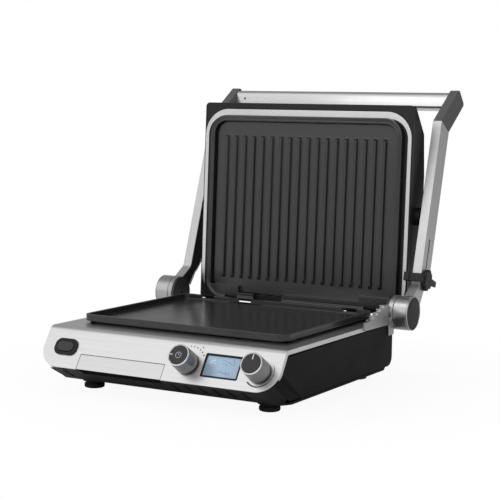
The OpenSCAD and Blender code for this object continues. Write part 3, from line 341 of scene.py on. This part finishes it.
UPPER_RIM = {"Centre Z": 0.21183, "Half X": 0.150, "Half Z": 0.13089, "Radius": 0.026}
ALONG_X = (14.0, 1300.0, 1300.0)
ALONG_ARM = (1200.0, 700.0, 25.0)
M = {
    "deck_steel": brushed_metal("deck_steel", 228, 0.28, 0.38, ALONG_X),
    "tray_steel": brushed_metal("tray_steel", 224, 0.30, 0.40, ALONG_X),
    "bar_aluminium": brushed_metal("bar_aluminium", 206, 0.22, 0.32, ALONG_X),
    "ring_steel": brushed_metal("ring_steel", 232, 0.25, 0.35, (60.0, 900.0, 60.0)),
    "arm_aluminium": brushed_metal("arm_aluminium", 210, 0.40, 0.50, ALONG_ARM),
    "bracket_steel": brushed_metal("bracket_steel", 185, 0.32, 0.42, (600.0, 60.0, 600.0)),
    "pin_steel": brushed_metal("pin_steel", 170, 0.30, 0.40, (900.0, 60.0, 60.0)),
    "pan_aluminium": brushed_metal("pan_aluminium", 190, 0.35, 0.50, (40.0, 60.0, 900.0)),
    "element_steel": brushed_metal("element_steel", 90, 0.50, 0.65, (900.0, 60.0, 60.0)),
    "lid_panel_steel": brushed_metal("lid_panel_steel", 218, 0.30, 0.42, ALONG_X),
    "knob_metal": brushed_metal("knob_metal", 150, 0.30, 0.42, (500.0, 500.0, 40.0)),
    "rim_metal": brushed_metal("rim_metal", 235, 0.12, 0.20, (500.0, 500.0, 40.0), 0.2),
    "hub_steel": brushed_metal("hub_steel", 190, 0.26, 0.34, (2400.0, 12.0, 2400.0), 0.06, hub_turning),
    "lower_coating": nonstick("lower_coating", 27, 0.20, 0.28, 0.7),
    "upper_coating": nonstick("upper_coating", 24, 0.27, 0.35, 0.9, UPPER_RIM),
    "side_plastic": moulded_plastic("side_plastic", 11, 0.45, 0.58, 0.12),
    "belly_plastic": moulded_plastic("belly_plastic", 27, 0.50, 0.62, 0.15),
    "frame_plastic": moulded_plastic("frame_plastic", 13, 0.34, 0.44, 0.4),
    "cover_plastic": moulded_plastic("cover_plastic", 18, 0.38, 0.50, 0.2),
    "end_plastic": moulded_plastic("end_plastic", 72, 0.42, 0.55, 0.4, 1600.0, 0.3),
    "clip_plastic": moulded_plastic("clip_plastic", 28, 0.45, 0.55, 0.3, 1600.0, 0.35),
    "cap_plastic": moulded_plastic("cap_plastic", 22, 0.36, 0.46, 0.2),
    "face_plastic": moulded_plastic("face_plastic", 46, 0.36, 0.46, 0.3),
    "button_plastic": moulded_plastic("button_plastic", 50, 0.42, 0.52, 0.3, 1800.0, 0.4),
    "bezel_plastic": moulded_plastic("bezel_plastic", 18, 0.30, 0.42, 0.25),
    # Near black that stands for painted shade: in the bar's screw hole, the vent slots and the recess below the
    # tray's front.
    "painted_shade_black": moulded_plastic("painted_shade_black", 10, 0.60, 0.75, 0.1),
    "rubber": moulded_plastic("rubber", 40, 0.60, 0.75, 0.2, 1400.0, 0.5),
    "tray_enamel": moulded_plastic("tray_enamel", 30, 0.25, 0.35, 0.5, 900.0, 0.1),
    "print_white": moulded_plastic("print_white", 225, 0.45, 0.55, 0.3),
    "print_grey": moulded_plastic("print_grey", 90, 0.45, 0.55, 0.3),
    "knob_print": moulded_plastic("knob_print", 170, 0.45, 0.55, 0.3),
    "print_dark": moulded_plastic("print_dark", 40, 0.45, 0.55, 0.3),
    "board_green": moulded_plastic("board_green", 0, 0.45, 0.60, colour=(0.02, 0.16, 0.07)),
    "display": moulded_plastic("display", 0, 0.20, 0.28, 0.4, 3000.0, 0.05, (0.32, 0.43, 0.56)),
    "display_mark": moulded_plastic("display_mark", 0, 0.30, 0.40, 0.3, 3000.0, 0.05, (0.60, 0.70, 0.80)),
    "display_ink": moulded_plastic("display_ink", 0, 0.30, 0.40, 0.3, 3000.0, 0.05, (0.10, 0.15, 0.22)),
}

NODE_FINISH = {
    "deck_steel": ["deck_cover"],
    "tray_steel": ["tray_front"],
    "tray_enamel": ["tray_pan"],
    "bar_aluminium": ["handle_bar"],
    "ring_steel": ["lid_ring"],
    "arm_aluminium": ["left_arm_channel", "right_arm_channel"],
    "bracket_steel": ["left_hinge_bracket", "right_hinge_bracket"],
    "pin_steel": ["left_pivot_pin", "right_pivot_pin", "timer_shaft"],
    "pan_aluminium": ["lower_heater_pan", "upper_heater_pan"],
    "element_steel": ["lower_element", "upper_element", "left_hinge_pin", "right_hinge_pin"],
    "lower_coating": ["lower_plate"],
    "upper_coating": ["upper_plate"],
    "side_plastic": ["left_side_panel", "right_side_panel", "rear_panel", "cable_gland", "plate_catches",
                     "upper_catches"],
    "belly_plastic": ["lower_housing", "tray_runners"],
    "frame_plastic": ["lid_frame"],
    "cover_plastic": ["lid_cover", "left_arm_liner", "right_arm_liner", "left_pivot_boss", "right_pivot_boss"],
    "lid_panel_steel": ["lid_top_panel"],
    "end_plastic": ["left_handle_end", "right_handle_end"],
    "clip_plastic": ["height_clip"],
    "cap_plastic": ["left_hub_cap", "right_hub_cap"],
    "button_plastic": ["plate_release_button", "lid_release_button", "timer_encoder", "temperature_pot"],
    "bezel_plastic": ["button_bezel", "lcd_bezel", "timer_knob_ring", "temperature_knob_ring"],
    "rubber": ["foot_front_left", "foot_front_right", "foot_rear_left", "foot_rear_right"],
    "board_green": ["power_board", "control_board"],
    "display": ["lcd_window"],
    "hub_steel": ["left_hub", "right_hub"],
    "knob_metal": ["timer_knob", "temperature_knob"],
}
FINISH_OF = {n: m for m, ns in NODE_FINISH.items() for n in ns}


def paint(obj, material):
    obj.data.materials.clear()
    obj.data.materials.append(material)


for node_name, node_object in NODES.items():
    paint(node_object, M[FINISH_OF[node_name]])


# ---- Making pieces ------------------------------------------------------------------------------


def placed(points, place):
    """Points in millimetres of a local frame, as metres in the object's frame."""
    turn = np.array(place.to_3x3())
    return points * MM @ turn.T + np.array(place.translation)


def grid_faces(rows, columns, start=0):
    """Corner numbers of the quads between neighbouring rows and columns; the columns close on themselves."""
    i, j = np.meshgrid(np.arange(rows - 1), np.arange(columns), indexing="ij")
    k = (j + 1) % columns
    quads = np.stack([i * columns + j, i * columns + k, (i + 1) * columns + k, (i + 1) * columns + j], -1)
    return (quads.reshape(-1, 4) + start).tolist()


def mesh_piece(name, points, faces, finish, node, smooth=32.0):
    """Closed mesh as a piece that rides with a node's body; its doubles are merged and its faces turned outwards."""
    mesh = bpy.data.meshes.new(name)
    mesh.from_pydata(points.tolist(), [], faces)
    work = bmesh.new()
    work.from_mesh(mesh)
    bmesh.ops.remove_doubles(work, verts=work.verts, dist=1e-7)
    bmesh.ops.dissolve_degenerate(work, dist=1e-8, edges=work.edges)
    bmesh.ops.recalc_face_normals(work, faces=work.faces)
    work.to_mesh(mesh)
    work.free()
    mesh.shade_smooth()
    mesh.set_sharp_from_angle(angle=math.radians(smooth))
    piece = bpy.data.objects.new(name, mesh)
    SCENE.collection.objects.link(piece)
    paint(piece, M[finish])
    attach(piece, BODY[node])
    return piece


def revolve(name, profile, place, finish, node, steps=96):
    """Turned piece: the profile's point (r, z), in millimetres, at turn t is (r cos t, r sin t, z)."""
    r, z = np.array(profile, float).T
    t = np.linspace(0, 2 * math.pi, steps, endpoint=False)
    grid = np.stack([np.outer(r, np.cos(t)), np.outer(r, np.sin(t)), np.outer(z, np.ones(steps))], -1)
    return mesh_piece(name, placed(grid.reshape(-1, 3), place), grid_faces(len(r), steps), finish, node)


def prisms(name, outlines, low, high, place, finish, node):
    """Flat outlines (x, y), in millimetres, each carried straight from height low to high and closed."""
    points, faces, start = [], [], 0
    for outline in outlines:
        n = len(outline)
        points += [np.column_stack([outline, np.full(n, z)]) for z in (low, high)]
        faces += grid_faces(2, n, start) + [list(range(start, start + n)), list(range(start + n, start + 2 * n))]
        start += 2 * n
    return mesh_piece(name, placed(np.concatenate(points), place), faces, finish, node)


def circle(x, y, r, steps=24):
    """Outline of a circle: x + r cos t, y + r sin t."""
    t = np.linspace(0, 2 * math.pi, steps, endpoint=False)
    return np.column_stack([x + r * np.cos(t), y + r * np.sin(t)])


def bar(x0, y0, x1, y1, width):
    """Outline of a straight stroke from one point to another."""
    along = np.array([x1 - x0, y1 - y0], float)
    across = width / 2 * np.array([-along[1], along[0]]) / np.linalg.norm(along)
    a, b = np.array([x0, y0]), np.array([x1, y1])
    return np.array([a + across, a - across, b - across, b + across])


def rectangle(x0, y0, x1, y1):
    """Outline of a rectangle between two opposite corners."""
    return np.array([(x0, y0), (x1, y0), (x1, y1), (x0, y1)], float)


def arc_band(r, a0, a1, w0, w1, steps=40):
    """Outline of a band on a circle of radius r from angle a0 to a1, whose width goes from w0 to w1."""
    a = np.radians(np.linspace(a0, a1, steps))
    half = np.linspace(w0, w1, steps) / 2
    rim = np.concatenate([r + half, (r - half)[::-1]])
    a = np.concatenate([a, a[::-1]])
    return np.column_stack([rim * np.cos(a), rim * np.sin(a)])


def rounded_copy(node, width, segments=2, joined=True, angle=28.0):
    """Copy of a node with its edges rounded, which stands for it: merged, flat faces joined, then bevelled."""
    mesh = NODES[node].data.copy()
    work = bmesh.new()
    work.from_mesh(mesh)
    bmesh.ops.remove_doubles(work, verts=work.verts, dist=2e-6)
    if joined:
        bmesh.ops.dissolve_limit(work, angle_limit=math.radians(0.7), verts=work.verts, edges=work.edges)
    work.to_mesh(mesh)
    work.free()
    mesh.shade_smooth()
    mesh.set_sharp_from_angle(angle=math.radians(angle))
    piece = bpy.data.objects.new(node + "_rounded", mesh)
    SCENE.collection.objects.link(piece)
    bevel = piece.modifiers.new("edges", "BEVEL")
    bevel.width = width * MM
    bevel.segments = segments
    bevel.limit_method = "ANGLE"
    bevel.angle_limit = math.radians(angle)
    bevel.use_clamp_overlap = False
    bevel.harden_normals = True
    paint(piece, M[FINISH_OF[node]])
    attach(piece, BODY[node])
    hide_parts(node)
    return piece


# ---- Rounded edges ----------------------------------------------------------------------------------

EDGES = {
    1.0: ["lower_plate"],
    0.8: ["left_handle_end", "right_handle_end", "lid_cover"],
    0.7: ["upper_plate"],
    0.6: ["left_side_panel", "right_side_panel", "height_clip", "lid_frame"],
    0.5: ["left_arm_channel", "right_arm_channel", "left_hinge_bracket", "right_hinge_bracket", "lid_ring",
          "tray_front", "button_bezel", "plate_release_button", "lid_release_button"],
    0.3: ["deck_cover", "lid_top_panel", "lower_housing", "plate_catches", "upper_catches"],
}
for edge_width, edge_nodes in EDGES.items():
    for edge_node in edge_nodes:
        rounded_copy(edge_node, edge_width, 3 if edge_width > 0.6 else 2, edge_node != "upper_plate",
                     18.0 if "_arm_" in edge_node or "handle_end" in edge_node else 28.0)

# ---- Knobs --------------------------------------------------------------------------------------------

KNOB_BODY = [(0, 3), (13.4, 3), (14.35, 3.3), (14.55, 3.9), (14.5, 4.6), (13.95, 20), (13.75, 23.6),
             (13.5, 24.2), (12.0, 24.3), (11.9, 23.9), (0, 23.9)]
KNOB_RIM = [(13.76, 23.5), (13.7, 24.3), (13.35, 24.85), (12.75, 25.0), (12.3, 24.7), (12.2, 24.2), (12.9, 23.4),
            (13.76, 23.5)]
KNOB_FACE = [(0, 23.8), (12.25, 23.8), (12.25, 24.25), (11.6, 24.4), (6, 24.46), (0, 24.48)]
for knob, knob_x in (("timer_knob", TIMER_X), ("temperature_knob", TEMPERATURE_X)):
    seat = on_fascia(knob_x, CONTROL_D)
    body = revolve(knob + "_body", KNOB_BODY, seat, "knob_metal", knob)
    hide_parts(knob)
    revolve(knob + "_rim", KNOB_RIM, seat, "rim_metal", knob)
    revolve(knob + "_face", KNOB_FACE, seat, "face_plastic", knob)
# Lowest and highest level of the prints on a knob's face, in millimetres above the fascia.
PRINT = (24.3, 24.6)
prisms("timer_mark", [bar(-11.3, 0, -8.0, 0, 0.9)], *PRINT, on_fascia(TIMER_X, CONTROL_D), "print_white",
       "timer_knob")
CLOCK = [arc_band(3.6, 20 + 45 * k, 58 + 45 * k, 0.7, 0.7, 8) for k in range(8)]
prisms("timer_clock", CLOCK + [bar(0, -0.3, 0, 2.2, 0.6), bar(-0.3, 0, 1.8, 0, 0.6)], *PRINT,
       on_fascia(TIMER_X, CONTROL_D), "knob_print", "timer_knob")
prisms("temperature_mark", [bar(0, 5.2, 0, 11.2, 1.0)], *PRINT, on_fascia(TEMPERATURE_X, CONTROL_D), "print_white",
       "temperature_knob")

# ---- Prints on the fascia --------------------------------------------------------------------------------

# Lowest and highest level of the prints on the fascia.
PROUD = (-0.05, 0.12)
DOTS_R = 22
dots = [circle(DOTS_R * math.cos(a), DOTS_R * math.sin(a), 0.7 + 0.06 * k)
        for k, a in enumerate(np.radians(np.linspace(96, 34, 6)))]
prisms("timer_dots", dots + [circle(14.6, 22.1, 0.9)], *PROUD, on_fascia(TIMER_X, CONTROL_D), "print_dark",
       "deck_cover")
prisms("temperature_scale", [arc_band(18.4, 36, -132, 0.5, 2.2)], *PROUD, on_fascia(TEMPERATURE_X, CONTROL_D),
       "print_grey", "deck_cover")

# ---- Display ----------------------------------------------------------------------------------------------

LCD = on_fascia(LCD_X, CONTROL_D - 0.001)
# Lowest and highest level of the marks on the display's glass.
GLASS = (-1.45, -1.33)
rng = np.random.default_rng(5)
pale = [circle(x, y, 0.62, 8) for x, y in np.column_stack([rng.uniform(-17, -10, 12), rng.uniform(2, 8, 12)])]
ink = [circle(x, y, 0.6, 8) for x, y in np.concatenate([
    np.column_stack([rng.uniform(0, 17, 13), rng.uniform(2, 10, 13)]),
    np.column_stack([rng.uniform(-5, 12, 11), rng.uniform(-9, -5, 11)])])]
prisms("display_pale_dots", pale, *GLASS, LCD, "display_mark", "lcd_window")
prisms("display_dark_dots", ink, *GLASS, LCD, "display_ink", "lcd_window")

# ---- Hubs -------------------------------------------------------------------------------------------------

X0, X1, R = HUB_X0 / MM, HUB_X1 / MM, HUB_R / MM
HUB_BODY = [(6.1, X0), (R - 0.6, X0), (R, X0 + 0.6), (R, X1 - 2.6), (R - 0.25, X1 - 2.35), (R - 0.25, X1 - 2.05),
            (R, X1 - 1.8), (R, X1 - 0.7), (R - 0.5, X1 - 0.1), (R - 1.3, X1 - 0.05), (R - 1.5, X1 - 0.5),
            (R - 1.5, X1 - 1.6), (6.1, X1 - 1.6), (6.1, X0)]
HUB_CAP = [(0, X1 - 1.5), (R - 1.7, X1 - 1.5), (R - 1.7, X1 - 0.9), (R - 2.2, X1 - 0.45), (R - 3.5, X1 - 0.3),
           (10, X1 - 0.16), (0, X1 - 0.12)]
for side, label in ((-1, "left"), (1, "right")):
    hub = revolve(label + "_hub_turned", HUB_BODY, on_hub(side), "hub_steel", label + "_hub", 128)
    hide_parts(label + "_hub")
    cap = revolve(label + "_hub_cap_domed", HUB_CAP, on_hub(side), "cap_plastic", label + "_hub_cap", 96)
    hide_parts(label + "_hub_cap")


# ---- Handle bar ------------------------------------------------------------------------------------------

BAR_HALF, BAR_R, BAR_TOP_R = 12.0, 4.0, 8.5


def quarter(cx, cy, r, start, steps=9):
    """Outline points of a quarter turn: c + r (cos t, sin t), t from start over 90 degrees."""
    t = np.radians(np.linspace(start, start + 90, steps))
    return np.column_stack([cx + r * np.cos(t), cy + r * np.sin(t)])


def bar_outline():
    """Square of the bar's side view, Y up and X to the rear; its upper front edge has the largest radius."""
    k, top = BAR_HALF - BAR_R, BAR_HALF - BAR_TOP_R
    return np.concatenate([quarter(k, -k, BAR_R, -90), quarter(k, k, BAR_R, 0), quarter(-top, top, BAR_TOP_R, 90),
                           quarter(-k, -k, BAR_R, 180)])


def on_bar():
    """Frame of the handle bar: X to the rear across it, Y up, Z along it to the right."""
    s, c = math.sin(BAR_TILT), math.cos(BAR_TILT)
    low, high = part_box("handle_bar")
    return frame_matrix((np.array(low) + np.array(high)) / 2, (0, c, -s), (0, s, c), (1, 0, 0))


BAR_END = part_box("handle_bar")[1][0] / MM
bar_piece = prisms("handle_bar_drawn", [bar_outline()], -BAR_END, BAR_END, on_bar(), "bar_aluminium", "handle_bar")
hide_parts("handle_bar")
FACE_TURN = Matrix(((0, 0, -1, 0), (0, 1, 0, 0), (1, 0, 0, 0), (0, 0, 0, 1)))
screw_seat = on_bar() @ Matrix.Translation((-BAR_HALF * MM, SCREW_V, SCREW_X)) @ FACE_TURN
revolve("bar_screw_rim", [(1.5, -0.3), (2.2, -0.3), (2.2, 0.1), (1.9, 0.25), (1.5, 0.1), (1.5, -0.3)], screw_seat,
        "rim_metal", "handle_bar", 32)
# A near-black disc in the screw's hole is painted shade.
revolve("bar_screw_hole_painted_shade", [(0, -0.3), (1.55, -0.3), (1.55, 0.05), (0, 0.05)], screw_seat, "painted_shade_black",
        "handle_bar", 32)

# ---- Feet and vents ---------------------------------------------------------------------------------------

FOOT = [(0, 0), (10.6, 0), (12.0, 0.5), (12.9, 1.8), (12.9, 4.8), (12.4, 5.8), (11.2, 6.3), (10.6, 6.9), (10.6, 8.9),
        (0, 8.9)]
for foot_node, foot_x, foot_y in FEET:
    foot = revolve(foot_node + "_turned", FOOT, Matrix.Translation((foot_x, foot_y, 0)), "rubber", foot_node, 64)
    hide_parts(foot_node)

VENT_HALF_W, VENT_RUN = 1.95, (11.4, 37.0)
vents = [rectangle(x - VENT_HALF_W, VENT_RUN[0], x + VENT_HALF_W, VENT_RUN[1]) for x in VENTS_X]
# Cheeks that narrow the grease notch in the lower plate's rear rim; the solid's own notch is wider.
CHEEKS_X, CHEEK_Y, CHEEK_Z = ((-77, -58), (-38, -15)), (54.2, 57.5), (85.2, 91.3)
cheeks = [rectangle(x0, CHEEK_Y[0], x1, CHEEK_Y[1]) for x0, x1 in CHEEKS_X]
prisms("grease_notch_cheeks", cheeks, *CHEEK_Z, Matrix.Identity(4), "lower_coating", "lower_plate")
# A near-black sheet on the back wall of the recess below the tray's front is painted shade.
back_wall = frame_matrix((0, CHIN_Y + RECESS_RUN, CHIN_Z), (1, 0, 0), (0, 0, 1), (0, -1, 0))
prisms("recess_shade", [rectangle(RECESS_X[0], -7.1, RECESS_X[1], -1.4)], 0.05, 0.45, back_wall, "painted_shade_black",
       "lower_housing")
# Near-black floors inside the vent slots are painted shade.
prisms("vent_painted_shade", vents, 0.9, 1.5, on_chin(), "painted_shade_black", "lower_housing")


# ---- Studio ---------------------------------------------------------------------------------------

# Where the surroundings are brightest to mirror-like surfaces, left and right alike, and their even light.
BRIGHT_SIDE = Vector((0.40, -0.70, 0.59)).normalized()
AMBIENT = 0.36


def rays(tree):
    """1 where the camera or a ray through glass looks, 0 where light is gathered, and the glossy rays apart."""
    path = tree.nodes.new("ShaderNodeLightPath")
    seen = math_node(tree, "MAXIMUM", path.outputs["Is Camera Ray"], path.outputs["Is Transmission Ray"])
    return seen, path.outputs["Is Glossy Ray"]


def smooth_range(tree, value, limits):
    """Value carried smoothly from the range of the first two limits to that of the last two."""
    carried = tree.nodes.new("ShaderNodeMapRange")
    carried.interpolation_type = "SMOOTHSTEP"
    link(tree, value, carried.inputs["Value"])
    for key, limit in zip(("From Min", "From Max", "To Min", "To Max"), limits):
        carried.inputs[key].default_value = limit
    return carried.outputs["Result"]


def make_floor():
    """Flat square floor under the object, which fades into the white surroundings."""
    half = 5.0
    mesh = bpy.data.meshes.new("floor")
    mesh.from_pydata([(-half, -half, 0), (half, -half, 0), (half, half, 0), (-half, half, 0)], [], [(0, 1, 2, 3)])
    floor = bpy.data.objects.new("floor", mesh)
    SCENE.collection.objects.link(floor)
    finish = Finish("floor", (0.6, 0.6, 0.6), Roughness=0.9)
    tree = finish.tree
    glow = tree.nodes.new("ShaderNodeEmission")
    mix = tree.nodes.new("ShaderNodeMixShader")
    seen, glossy = rays(tree)
    length = tree.nodes.new("ShaderNodeVectorMath")
    length.operation = "LENGTH"
    link(tree, finish.coords, length.inputs[0])
    away = smooth_range(tree, length.outputs["Value"], (0.15, 0.5, 0.93, 1.0))
    link(tree, math_node(tree, "MULTIPLY", math_node(tree, "MAXIMUM", seen, math_node(tree, "MULTIPLY", glossy, 0.1)),
                         away), mix.inputs["Fac"])
    link(tree, finish.shader.outputs[0], mix.inputs[1])
    link(tree, glow.outputs[0], mix.inputs[2])
    link(tree, mix.outputs[0], tree.nodes["Material Output"].inputs["Surface"])
    paint(floor, finish.material)


def area_light(name, place, target, size, power, mirrored=False):
    """Soft box that lights matt surfaces; polished ones see its outline only where it is to be mirrored."""
    data = bpy.data.lights.new(name, "AREA")
    data.shape = "RECTANGLE"
    data.size, data.size_y = size
    data.energy = power
    lamp = bpy.data.objects.new(name, data)
    SCENE.collection.objects.link(lamp)
    lamp.location = place
    lamp.rotation_euler = (Vector(target) - Vector(place)).to_track_quat("-Z", "Y").to_euler()
    lamp.visible_glossy = mirrored
    lamp.visible_camera = False


def make_world():
    """White surroundings for the camera; reflections see them fade away from the bright side."""
    world = bpy.data.worlds.new("studio")
    SCENE.world = world
    world.use_nodes = True
    tree = world.node_tree
    seen, glossy = rays(tree)
    split = tree.nodes.new("ShaderNodeSeparateXYZ")
    link(tree, tree.nodes.new("ShaderNodeTexCoord").outputs["Generated"], split.inputs[0])
    join = tree.nodes.new("ShaderNodeCombineXYZ")
    for socket, value in zip(join.inputs, (math_node(tree, "ABSOLUTE", split.outputs["X"]), *split.outputs[1:])):
        link(tree, value, socket)
    dot = tree.nodes.new("ShaderNodeVectorMath")
    dot.operation = "DOT_PRODUCT"
    link(tree, join.outputs[0], dot.inputs[0])
    dot.inputs[1].default_value = BRIGHT_SIDE
    fade = smooth_range(tree, dot.outputs["Value"], (0.70, 1.0, 0.39, 1.20))
    mirrored = math_node(tree, "MULTIPLY", glossy, math_node(tree, "SUBTRACT", fade, AMBIENT))
    level = math_node(tree, "ADD", math_node(tree, "ADD", mirrored, AMBIENT),
                      math_node(tree, "MULTIPLY", seen, 1.0 - AMBIENT))
    link(tree, level, tree.nodes["Background"].inputs["Strength"])
    tree.nodes["Background"].inputs["Color"].default_value = (1, 1, 1, 1)


make_floor()
make_world()
area_light("key", (-2.2, -1.8, 2.0), (0, 0, 0.15), (0.9, 0.9), 80)
area_light("fill", (2.6, -1.0, 1.2), (0, 0, 0.15), (1.4, 1.4), 22)
area_light("top", (0.2, 0.4, 2.8), (0, 0, 0.1), (2.0, 1.4), 16)
area_light("back", (-1.2, 2.6, 1.6), (0, 0.1, 0.15), (1.4, 1.4), 30)
area_light("sheen", (0.03, -0.20, 0.54), (0.15, 0.246, 0.366), (0.45, 0.18), 0.24, True)

camera_data = bpy.data.cameras.new("camera")
camera = bpy.data.objects.new("camera", camera_data)
SCENE.collection.objects.link(camera)
SCENE.camera = camera
AZIMUTH, ELEVATION, ROLL = (math.radians(a) for a in (29.70, 5.85, 0.80))
ahead = Vector((-math.sin(AZIMUTH) * math.cos(ELEVATION), math.cos(AZIMUTH) * math.cos(ELEVATION),
                -math.sin(ELEVATION)))
right = Vector((math.cos(AZIMUTH), math.sin(AZIMUTH), 0))
up = right.cross(ahead)
right, up = (right * math.cos(ROLL) + up * math.sin(ROLL), up * math.cos(ROLL) - right * math.sin(ROLL))
camera.matrix_world = frame_matrix((0.93276, -1.65031, 0.36568), right, up, -ahead)
camera_data.sensor_width = 36.0
# Focal length and centre of the photograph in its pixels, from the calibration.
IMAGE_W, FOCAL, CENTRE_X, CENTRE_Y = 500, 1437.17, 250.47, 246.56
camera_data.lens = camera_data.sensor_width * FOCAL / IMAGE_W
camera_data.shift_x = -(CENTRE_X - IMAGE_W / 2) / IMAGE_W
camera_data.shift_y = (CENTRE_Y - IMAGE_W / 2) / IMAGE_W
SCENE.view_settings.view_transform = "Standard"
